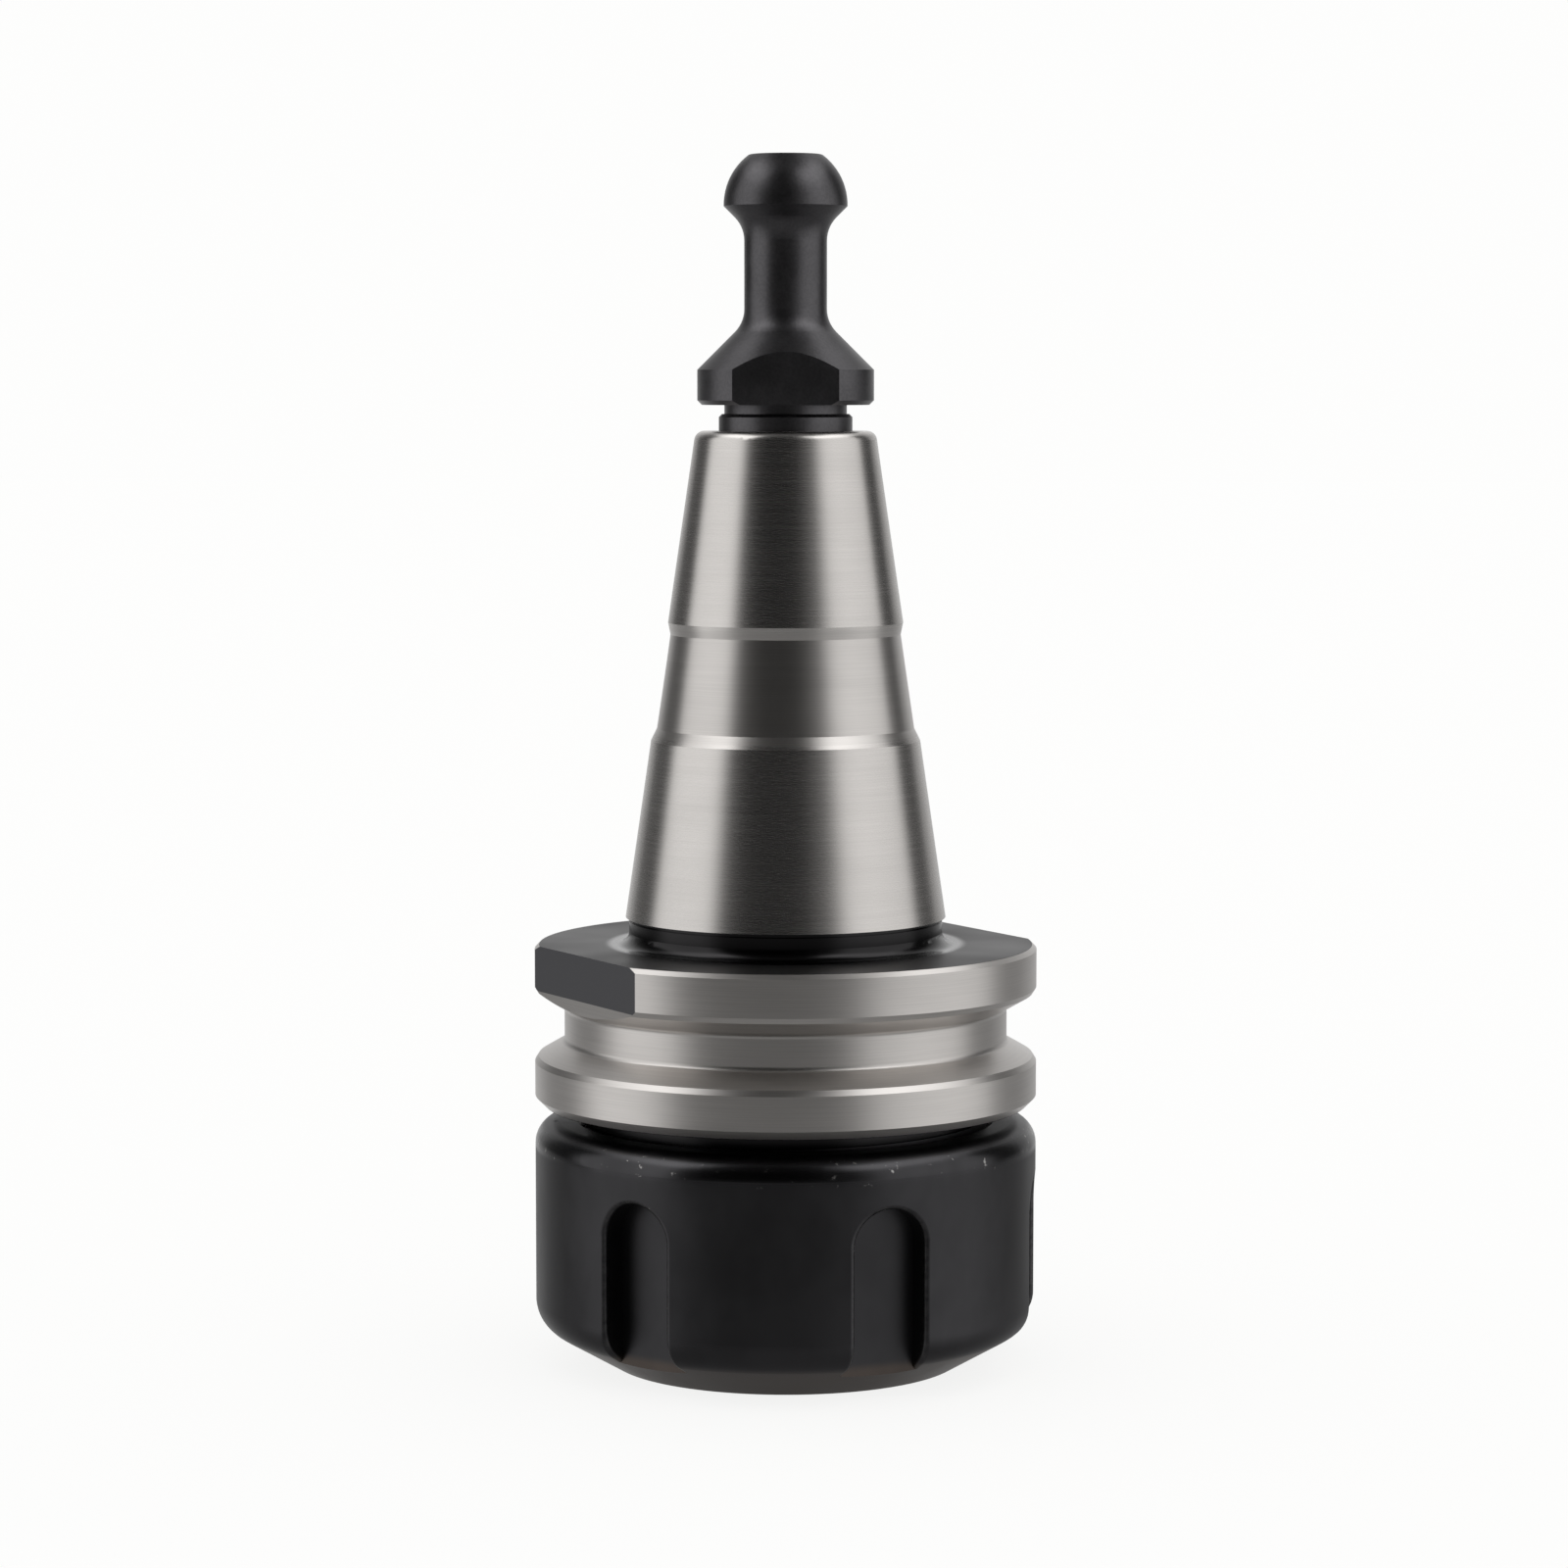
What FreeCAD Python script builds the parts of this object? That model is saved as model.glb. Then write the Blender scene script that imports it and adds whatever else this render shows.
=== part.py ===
import FreeCAD, Part
import os
import re

import Sketcher

# Collet chuck holder: a 7/24 steep-taper tool holder with a pull stud screwed into its small end,
# a spring collet in its nose and the clamping nut that draws the collet into its cone.
# Millimetres. +Z runs up the spindle axis towards the pull stud, and the origin is the centre of the
# nut's front face, on which the holder stands.

SIZES = [
    # Spindle taper: a ground cone whose diameter falls by taper_rise over each taper_run of length.
    ("gauge_diameter", 31.75, "taper diameter at the gauge plane"),
    ("taper_rise", 7, "loss of diameter over one taper run"),
    ("taper_run", 24, "length of one taper run"),
    ("taper_length", 47.8, "gauge plane to small end"),
    ("taper_overrun", 0.4, "ground cone carried on below the gauge plane"),
    ("small_end_round", 1.0, "rounding of the small end's edge"),
    ("land_gap", 18.9, "small end to the start of the relieved band"),
    ("land_relief_length", 11.7, "length of the relieved band"),
    ("land_relief_depth", 0.42, "how far the band lies below the two ground lands"),
    ("land_relief_ramp", 1.2, "length of each sloping end of the band"),
    # Neck between the taper and the flange.
    ("neck_step", 0.275, "gauge circle in to the black neck under the taper"),
    ("neck_fillet", 1.2, "fillet of the neck into the flange"),
    ("undercut_width", 0.4, "grinding undercut below the cone"),
    ("undercut_depth", 0.35, "depth of the grinding undercut below the neck"),
    # Gripper flange.
    ("flange_diameter", 50, "outer diameter of both rims"),
    ("flange_top_gap", 3.1, "gauge plane to the flange's top face"),
    ("flange_reach", 19.0, "gauge plane to the flange's bottom face"),
    ("flange_top_chamfer", 0.45, "chamfer of the upper rim"),
    ("flange_bottom_chamfer", 0.9, "chamfer of the lower rim"),
    ("vee_gap", 11.0, "gauge plane to the middle of the gripper groove"),
    ("vee_width", 6.75, "groove width at the rims"),
    ("vee_angle", 60, "angle between the groove's flanks"),
    ("vee_depth", 2.95, "depth of the groove's floor below the rims"),
    ("vee_fillet", 0.6, "fillet of the floor into each flank"),
    ("vee_edge_break", 0.35, "broken edge between each flank and its rim"),
    ("drive_flat_depth", 2.3, "depth of each flat milled on the upper rim"),
    ("drive_flat_angle", 36, "turn of the flats from the X axis"),
    # Nose with the outer thread for the nut.
    ("nose_diameter", 39.75, "outer thread, drawn plain at its crests"),
    ("collar_step", 0.375, "thread's crests in to the plain collar under the flange"),
    ("collar_clearance", 0.25, "collar's lower end above the nut's top"),
    ("runout_depth", 0.975, "depth of the thread's run-out groove"),
    ("runout_width", 1.8, "width of the run-out groove"),
    ("nose_chamfer", 1.0, "chamfer at the nose's front"),
    ("nose_clearance", 0.8, "nose's front face above the nut's inner step"),
    ("thread_play", 0.25, "radial gap between the nose and the nut's plain bore"),
    # Cavity for the collet and the bore behind it.
    ("cone_angle", 8, "half angle of the collet's cone"),
    ("cone_play", 0.1, "radial gap between the collet and its cone"),
    ("cone_room", 4.1, "collet's back end to the end of its cone"),
    ("shank_bore_diameter", 21.0, "bore that takes the end of the tool's shank"),
    ("shank_bore_depth", 14.0, "depth of that bore behind the cone"),
    ("drill_angle", 59, "half angle of the drill point"),
    ("tap_drill_diameter", 10.2, "hole from the shank bore to the stud's socket"),
    # Socket for the pull stud.
    ("pilot_diameter", 13.2, "pilot of the pull stud"),
    ("pilot_play", 0.03, "radial gap between the pilot and its counterbore"),
    ("socket_depth", 5.5, "depth of the counterbore, whose floor seats the pilot"),
    ("stud_thread_diameter", 11.9, "stud thread, drawn plain"),
    ("stud_thread_play", 0.05, "radial gap between the stud's thread and its hole"),
    ("stud_thread_length", 15.0, "length of the stud's thread"),
    ("stud_hole_depth", 24.0, "depth of the threaded hole from the small end"),
    # Pull stud.
    ("pilot_exposed", 1.65, "pilot left showing above the small end"),
    ("stud_edge", 0.3, "chamfer of the pilot and the thread's end"),
    ("stud_neck_relief_diameter", 12.1, "relief between the pilot and the stud's flange"),
    ("stud_neck_relief_width", 0.9, "width of that relief"),
    ("stud_flange_diameter", 17.45, "flange of the pull stud"),
    ("stud_flange_height", 3.45, "height of the flange's rim"),
    ("stud_flange_chamfer", 0.45, "chamfer under the flange"),
    ("stud_flats", 14, "distance across the two wrench flats"),
    ("stud_flats_angle", 96, "turn of the wrench flats from the X axis"),
    ("stud_cone_angle", 45, "angle of the flange's and the head's cones from the axis"),
    ("stud_shank_diameter", 8.16, "thin shank that the gripper closes round"),
    ("stud_shank_length", 6.7, "straight length of that shank"),
    ("stud_shank_fillet", 3.2, "fillet at each end of the shank"),
    ("ball_diameter", 12.2, "ball head"),
    ("ball_skirt", 0.12, "ball centre down to the head's sharp lower edge"),
    ("ball_crown", 4.95, "ball centre up to the flat top"),
    ("ball_top_round", 0.6, "rounding of the flat top's edge"),
    # Clamping nut.
    ("nut_step", 0, "flange's rims in to the nut's side, which lies flush with them"),
    ("nut_height", 24.35, "front face to top face"),
    ("nut_gap", 1.65, "nut's top to the flange's bottom"),
    ("nut_top_round", 2.3, "rounding of the nut's top edge"),
    ("nut_bottom_round", 3.5, "rounding of the nut's bottom edge"),
    ("nut_cone_angle", 30, "slope of the nut's nose from the front face"),
    ("nut_face_diameter", 35, "outer diameter of the front face"),
    ("nut_mouth_cover", 2.1, "how far the opening's edge reaches in over the collet's front ring"),
    ("nut_thread_chamfer", 0.8, "chamfer at the top of the nut's thread"),
    ("slot_count", 6, "wrench slots"),
    ("slot_width", 7.35, "width of a wrench slot"),
    ("slot_web", 1.675, "metal between a slot's flat floor and the nut's bore"),
    ("slot_top_gap", 5.25, "nut's top to the round end of a slot"),
    ("slot_edge_round", 0.45, "rounding of the edges that a slot leaves on the nut's side"),
    ("lip_cover", 0.7, "how far the extraction lip's round hole is smaller than the front ring"),
    ("lip_offset", 0.8, "how far that hole lies off the axis"),
    ("lip_front_play", 0.2, "gap between the lip and the collet's front ring"),
    ("lip_back_play", 0.3, "gap between the lip and the collet's shoulder"),
    ("ring_play", 0.25, "radial gap round the collet's front ring"),
    ("seat_play", 0.1, "gap between the collet's front cone and the nut's seat"),
    ("shoulder_play", 0.5, "radial gap round the collet's shoulder"),
    ("shoulder_room", 0.9, "lip to the step where the nut's thread starts"),
    # Spring collet.
    ("collet_length", 40.0, "length of the collet"),
    ("collet_diameter", 33.0, "diameter of the collet's shoulder"),
    ("collet_recess", 1.5, "collet's face above the nut's front face"),
    ("collet_ring_step", 0.8, "shoulder in to the front ring that the lip draws out"),
    ("collet_ring_length", 5.3, "front face to the extraction groove"),
    ("collet_seat_width", 1.5, "front ring in to the front face, across the front cone"),
    ("collet_seat_angle", 30, "half angle of the collet's front cone"),
    ("collet_groove_depth", 2.0, "depth of the extraction groove below the front ring"),
    ("collet_groove_width", 3.4, "width of the extraction groove"),
    ("collet_back_chamfer", 0.6, "chamfer of the collet's back end"),
    ("tool_bore_diameter", 12.0, "bore that grips the tool's shank"),
    ("tool_bore_chamfer", 0.5, "chamfer at each end of that bore"),
    ("saw_cut_count", 8, "saw cuts from each end of the collet"),
    ("saw_cut_width", 1.0, "width of a saw cut"),
    ("front_cut_web", 6.0, "metal left behind the front saw cuts"),
    ("back_cut_web", 12.0, "metal left before the back saw cuts"),
]

document = FreeCAD.newDocument("collet_chuck_holder")
sheet = document.addObject("Spreadsheet::Sheet", "Sizes")
for row, (alias, value, note) in enumerate(SIZES, start=1):
    sheet.set(f"A{row}", note)
    sheet.set(f"B{row}", str(value))
    sheet.setAlias(f"B{row}", alias)
document.recompute()
ALIASES = {alias for alias, value, note in SIZES}

# Lengths that several pieces share, written once as expressions of the sheet's sizes.
SLOPE = "(taper_rise / taper_run / 2)"
NORMAL = f"sqrt(1 + {SLOPE} ^ 2)"
GAUGE_HEIGHT = "(nut_height + nut_gap + flange_reach)"
RING_BACK = "(collet_recess + collet_ring_length)"
SHOULDER = f"({RING_BACK} + collet_groove_width)"
LIP_FRONT = f"({RING_BACK} + lip_front_play)"
LIP_BACK = f"({SHOULDER} - lip_back_play)"
THREAD_START = f"({LIP_BACK} + shoulder_room)"
NOSE_FRONT = f"({THREAD_START} + nose_clearance - {GAUGE_HEIGHT})"
RING_RADIUS = "(collet_diameter / 2 - collet_ring_step)"
NUT_BORE = "(nose_diameter / 2 + thread_play)"


def bound(expression):
    """Spell out each size named in an expression as a cell of the sheet."""
    return re.sub(
        r"[a-z_]+",
        lambda word: f"Sizes.{word[0]}" if word[0] in ALIASES else word[0],
        expression,
    )


def number(expression):
    """The present value of an expression of sizes."""
    result = sheet.evalExpression(bound(expression))
    return float(getattr(result, "Value", result))


def cone_radius(height):
    """Radius of the ground taper at a height above the gauge plane."""
    return f"gauge_diameter / 2 - {SLOPE} * ({height})"


def new_body(label, height, turn="0"):
    """An empty body named after its piece, set at its height and turned about the spindle axis."""
    body = document.addObject("PartDesign::Body", label)
    body.Label = label
    body.Placement = FreeCAD.Placement(FreeCAD.Vector(), FreeCAD.Rotation(FreeCAD.Vector(0, 0, 1), 0))
    body.setExpression("Placement.Base.z", bound(height))
    body.setExpression("Placement.Rotation.Angle", bound(turn))
    return body


def new_sketch(body, name, plane, offset="0", turn="0"):
    """A sketch on one of the body's own planes, moved along its normal and turned in it."""
    sketch = body.newObject("Sketcher::SketchObject", name)
    support = next(item for item in body.Origin.OriginFeatures if item.Role == plane)
    sketch.AttachmentSupport = [(support, "")]
    sketch.MapMode = "FlatFace"
    sketch.AttachmentOffset = FreeCAD.Placement(
        FreeCAD.Vector(), FreeCAD.Rotation(FreeCAD.Vector(0, 0, 1), 0)
    )
    sketch.setExpression("AttachmentOffset.Base.z", bound(offset))
    sketch.setExpression("AttachmentOffset.Rotation.Angle", bound(turn))
    return sketch


def arc_centre(start, end, radius, side):
    """Centre of the arc between two points that bulges away from the given side of its chord."""
    chord = end - start
    left = FreeCAD.Vector(-chord.y, chord.x, 0).normalize()
    rise = max(radius ** 2 - chord.Length ** 2 / 4, 0) ** 0.5
    return (start + end) * 0.5 + left * rise * side


def draw_outline(sketch, corners):
    """Draw a closed outline and bind every corner to the sheet.

    A corner is (x, y), or (x, y, radius, side) where an arc leads on to the next corner: its centre
    lies to the left of the way there for side 1, and to the right for side -1.
    """
    points = [FreeCAD.Vector(number(corner[0]), number(corner[1]), 0) for corner in corners]
    for index, corner in enumerate(corners):
        start, end = points[index], points[(index + 1) % len(points)]
        if len(corner) == 2:
            sketch.addGeometry(Part.LineSegment(start, end))
            continue
        radius, side = number(corner[2]), corner[3]
        centre = arc_centre(start, end, radius, side)
        middle = centre + ((start + end) * 0.5 - centre).normalize() * radius
        sketch.addGeometry(Part.Arc(start, middle, end))
    for index, corner in enumerate(corners):
        following = (index + 1) % len(corners)
        clockwise = len(corner) > 2 and corner[3] < 0
        last_end = 1 if clockwise else 2
        next_clockwise = len(corners[following]) > 2 and corners[following][3] < 0
        next_start = 2 if next_clockwise else 1
        first_start = 2 if clockwise else 1
        sketch.addConstraint(Sketcher.Constraint("Coincident", index, last_end, following, next_start))
        for kind, place, value in (("DistanceX", 0, points[index].x), ("DistanceY", 1, points[index].y)):
            added = sketch.addConstraint(Sketcher.Constraint(kind, -1, 1, index, first_start, value))
            sketch.setExpression(f"Constraints[{added}]", bound(corner[place]))
        if len(corner) > 2:
            added = sketch.addConstraint(Sketcher.Constraint("Radius", index, number(corner[2])))
            sketch.setExpression(f"Constraints[{added}]", bound(corner[2]))
    return sketch


def draw_circle(sketch, x, y, radius):
    """Draw a circle with its centre and radius bound to the sheet."""
    centre = FreeCAD.Vector(number(x), number(y), 0)
    circle = sketch.addGeometry(Part.Circle(centre, FreeCAD.Vector(0, 0, 1), number(radius)))
    for kind, value, expression in (("DistanceX", centre.x, x), ("DistanceY", centre.y, y)):
        added = sketch.addConstraint(Sketcher.Constraint(kind, -1, 1, circle, 3, value))
        sketch.setExpression(f"Constraints[{added}]", bound(expression))
    added = sketch.addConstraint(Sketcher.Constraint("Radius", circle, number(radius)))
    sketch.setExpression(f"Constraints[{added}]", bound(radius))
    return sketch


def finish_feature(body, feature):
    """Make a feature the body's tip, and refuse one that failed or left the solid as it was."""
    before = 0.0 if feature.BaseFeature is None else feature.BaseFeature.Shape.Volume
    body.Tip = feature
    document.recompute()
    if feature.Shape.isNull() or abs(feature.Shape.Volume - before) < 1e-3:
        raise RuntimeError(f"{feature.Label} changed nothing")
    return feature


def turned(body, name, corners, kind="PartDesign::Revolution"):
    """A full turn of an outline in the XZ plane about the body's axis, added or cut away."""
    sketch = draw_outline(new_sketch(body, f"{name}_outline", "XZ_Plane"), corners)
    feature = body.newObject(kind, name)
    feature.Profile = sketch
    feature.ReferenceAxis = (sketch, ["V_Axis"])
    feature.Angle = 360
    sketch.Visibility = False
    return finish_feature(body, feature)


def turned_away(body, name, corners):
    """Cut a turned outline out of the body."""
    return turned(body, name, corners, "PartDesign::Groove")


def milled(body, name, sketch, depth, outward=False):
    """Cut a sketch out of the body, against its plane's normal, or along it when outward."""
    feature = body.newObject("PartDesign::Pocket", name)
    feature.Profile = sketch
    feature.Reversed = outward
    feature.Length = number(depth)
    feature.setExpression("Length", bound(depth))
    sketch.Visibility = False
    return finish_feature(body, feature)


def repeated(body, name, feature, count):
    """Repeat a feature evenly round the body's axis."""
    pattern = body.newObject("PartDesign::PolarPattern", name)
    pattern.Originals = [feature]
    axis = next(item for item in body.Origin.OriginFeatures if item.Role == "Z_Axis")
    pattern.Axis = (axis, [""])
    pattern.Angle = 360
    pattern.setExpression("Occurrences", bound(count))
    return finish_feature(body, pattern)


def rounded(body, name, feature, edges, radius):
    """Round some edges of a feature's solid."""
    fillet = body.newObject("PartDesign::Fillet", name)
    fillet.Base = (feature, edges)
    fillet.Radius = number(radius)
    fillet.setExpression("Radius", bound(radius))
    return finish_feature(body, fillet)


def make_holder_body():
    """Steep-taper body, in a frame whose origin is the centre of the gauge plane."""
    body = new_body("holder_body", GAUGE_HEIGHT)
    nose_radius = "nose_diameter / 2"
    flange_radius = "flange_diameter / 2"
    neck_radius = "(gauge_diameter / 2 - neck_step)"
    collar_end = "(nut_gap - flange_reach - collar_clearance)"
    runout_end = f"({collar_end} - runout_width)"
    round_x = f"({cone_radius('taper_length - small_end_round')} - small_end_round * {NORMAL})"
    turned(body, "outside", [
        ("0", NOSE_FRONT),
        (f"{nose_radius} - nose_chamfer", NOSE_FRONT),
        (nose_radius, f"{NOSE_FRONT} + nose_chamfer"),
        (nose_radius, runout_end),
        (f"{nose_radius} - runout_depth", runout_end),
        (f"{nose_radius} - runout_depth", collar_end),
        (f"{nose_radius} - collar_step", collar_end),
        (f"{nose_radius} - collar_step", "-flange_reach"),
        (f"{flange_radius} - flange_bottom_chamfer", "-flange_reach"),
        (flange_radius, "flange_bottom_chamfer - flange_reach"),
        (flange_radius, "-flange_top_gap - flange_top_chamfer"),
        (f"{flange_radius} - flange_top_chamfer", "-flange_top_gap"),
        (f"{neck_radius} + neck_fillet", "-flange_top_gap", "neck_fillet", -1),
        (neck_radius, "neck_fillet - flange_top_gap"),
        (neck_radius, "-taper_overrun - undercut_width"),
        (f"{neck_radius} - undercut_depth", "-taper_overrun - undercut_width"),
        (f"{neck_radius} - undercut_depth", "-taper_overrun"),
        (cone_radius("-taper_overrun"), "-taper_overrun"),
        (
            f"{round_x} + small_end_round / {NORMAL}",
            f"taper_length - small_end_round + small_end_round * {SLOPE} / {NORMAL}",
            "small_end_round",
            1,
        ),
        (round_x, "taper_length"),
        ("0", "taper_length"),
    ])
    cut_gripper_groove(body)
    cut_land_relief(body)
    cut_collet_cavity(body)
    cut_stud_socket(body)
    flat = new_sketch(body, "drive_flat_outline", "XY_Plane", turn="drive_flat_angle")
    draw_outline(flat, [
        (f"{flange_radius} - drive_flat_depth", f"-{flange_radius}"),
        ("flange_diameter", f"-{flange_radius}"),
        ("flange_diameter", flange_radius),
        (f"{flange_radius} - drive_flat_depth", flange_radius),
    ])
    milled_flat = milled(body, "drive_flat", flat, "vee_gap")
    repeated(body, "drive_flats", milled_flat, "2")
    return body


def cut_gripper_groove(body):
    """V-groove between the two rims, with a flat floor, fillets and broken edges."""
    rim = "flange_diameter / 2"
    floor = f"({rim} - vee_depth)"
    tilt = "tan(vee_angle / 2)"
    half = f"(vee_width / 2 - vee_depth * {tilt})"
    tangent = "vee_fillet * tan(45 - vee_angle / 4)"
    sides = []
    for side in ("", "-"):
        sides.append([
            (f"{rim} + vee_edge_break", f"{side}(vee_width / 2 + vee_edge_break) - vee_gap"),
            (rim, f"{side}(vee_width / 2 + vee_edge_break) - vee_gap"),
            (f"{rim} - vee_edge_break", f"{side}(vee_width / 2 - vee_edge_break * {tilt}) - vee_gap"),
            (
                f"{floor} + {tangent} * cos(vee_angle / 2)",
                f"{side}({half} + {tangent} * sin(vee_angle / 2)) - vee_gap",
            ),
            (floor, f"{side}({half} - {tangent}) - vee_gap"),
        ])
    upper, lower = sides[0], sides[1][::-1]
    upper[3] += ("vee_fillet", 1)
    lower[0] += ("vee_fillet", 1)
    turned_away(body, "gripper_groove", upper + lower)


def cut_land_relief(body):
    """Shallow band that parts the ground taper into two lands."""
    top = "(taper_length - land_gap)"
    bottom = f"({top} - land_relief_length)"
    turned_away(body, "land_relief", [
        (cone_radius(bottom), bottom),
        ("gauge_diameter / 2", bottom),
        ("gauge_diameter / 2", top),
        (cone_radius(top), top),
        (f"{cone_radius(f'{top} - land_relief_ramp')} - land_relief_depth", f"{top} - land_relief_ramp"),
        (
            f"{cone_radius(f'{bottom} + land_relief_ramp')} - land_relief_depth",
            f"{bottom} + land_relief_ramp",
        ),
    ])


def cut_collet_cavity(body):
    """Cone for the collet, the shank bore behind it and the drilled way through to the stud."""
    shoulder = f"({SHOULDER} - {GAUGE_HEIGHT})"
    cone_end = f"(collet_recess + collet_length + cone_room - {GAUGE_HEIGHT})"
    bore_end = f"({cone_end} + shank_bore_depth)"
    bore_radius = "shank_bore_diameter / 2"
    drill_radius = "tap_drill_diameter / 2"

    def seat_radius(height):
        return f"collet_diameter / 2 + cone_play - ({height} - {shoulder}) * tan(cone_angle)"

    turned_away(body, "collet_cavity", [
        ("0", f"{NOSE_FRONT} - nose_clearance"),
        (seat_radius(f"({NOSE_FRONT} - nose_clearance)"), f"{NOSE_FRONT} - nose_clearance"),
        (seat_radius(cone_end), cone_end),
        (bore_radius, cone_end),
        (bore_radius, bore_end),
        (drill_radius, f"{bore_end} + ({bore_radius} - {drill_radius}) / tan(drill_angle)"),
        (drill_radius, "taper_length - socket_depth"),
        ("0", "taper_length - socket_depth"),
    ])


def cut_stud_socket(body):
    """Counterbore and plain-drawn thread for the pull stud."""
    counterbore_radius = "pilot_diameter / 2 + pilot_play"
    thread_radius = "stud_thread_diameter / 2 + stud_thread_play"
    turned_away(body, "stud_socket", [
        ("0", "taper_length - stud_hole_depth"),
        (thread_radius, "taper_length - stud_hole_depth"),
        (thread_radius, "taper_length - socket_depth"),
        (counterbore_radius, "taper_length - socket_depth"),
        (counterbore_radius, "taper_length + pilot_exposed"),
        ("0", "taper_length + pilot_exposed"),
    ])


def make_pull_stud():
    """Ball-headed stud, in a frame whose origin is the centre of its pilot's seat."""
    body = new_body("pull_stud", f"{GAUGE_HEIGHT} + taper_length - socket_depth", "stud_flats_angle")
    pilot = "pilot_diameter / 2"
    thread = "stud_thread_diameter / 2"
    flange = "stud_flange_diameter / 2"
    shank = "stud_shank_diameter / 2"
    ball = "ball_diameter / 2"
    pilot_end = "(socket_depth + pilot_exposed)"
    flange_start = f"({pilot_end} + stud_neck_relief_width)"
    cone_start = f"({flange_start} + stud_flange_height)"
    flare_x = f"({shank} + stud_shank_fillet * (1 - cos(stud_cone_angle)))"
    flare_rise = "stud_shank_fillet * sin(stud_cone_angle)"
    shank_start = f"({cone_start} + ({flange} - {flare_x}) / tan(stud_cone_angle) + {flare_rise})"
    shank_end = f"({shank_start} + stud_shank_length)"
    skirt = f"sqrt(({ball}) ^ 2 - ball_skirt ^ 2)"
    skirt_height = f"({shank_end} + {flare_rise} + ({skirt} - {flare_x}) / tan(stud_cone_angle))"
    centre = f"({skirt_height} + ball_skirt)"
    crown_x = f"sqrt(({ball} - ball_top_round) ^ 2 - (ball_crown - ball_top_round) ^ 2)"
    crown_scale = f"({ball} / ({ball} - ball_top_round))"
    turned(body, "stud", [
        ("0", "-stud_thread_length"),
        (f"{thread} - stud_edge", "-stud_thread_length"),
        (thread, "stud_edge - stud_thread_length"),
        (thread, "0"),
        (f"{pilot} - stud_edge", "0"),
        (pilot, "stud_edge"),
        (pilot, f"{pilot_end} - stud_edge"),
        (f"{pilot} - stud_edge", pilot_end),
        ("stud_neck_relief_diameter / 2", pilot_end),
        ("stud_neck_relief_diameter / 2", flange_start),
        (f"{flange} - stud_flange_chamfer", flange_start),
        (flange, f"{flange_start} + stud_flange_chamfer"),
        (flange, cone_start),
        (flare_x, f"{shank_start} - {flare_rise}", "stud_shank_fillet", -1),
        (shank, shank_start),
        (shank, shank_end, "stud_shank_fillet", -1),
        (flare_x, f"{shank_end} + {flare_rise}"),
        (skirt, skirt_height, ball, 1),
        (
            f"{crown_x} * {crown_scale}",
            f"{centre} + (ball_crown - ball_top_round) * {crown_scale}",
            "ball_top_round",
            1,
        ),
        (crown_x, f"{centre} + ball_crown"),
        ("0", f"{centre} + ball_crown"),
    ])
    flat = new_sketch(body, "wrench_flat_outline", "XY_Plane", offset=flange_start)
    draw_outline(flat, [
        ("stud_flats / 2", f"-{flange}"),
        ("stud_flange_diameter", f"-{flange}"),
        ("stud_flange_diameter", flange),
        ("stud_flats / 2", flange),
    ])
    cone_reach = f"stud_flange_height + ({flange} - stud_flats / 2) / tan(stud_cone_angle)"
    wrench_flat = milled(body, "wrench_flat", flat, f"{cone_reach} + stud_edge", outward=True)
    repeated(body, "wrench_flats", wrench_flat, "2")
    return body


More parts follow.
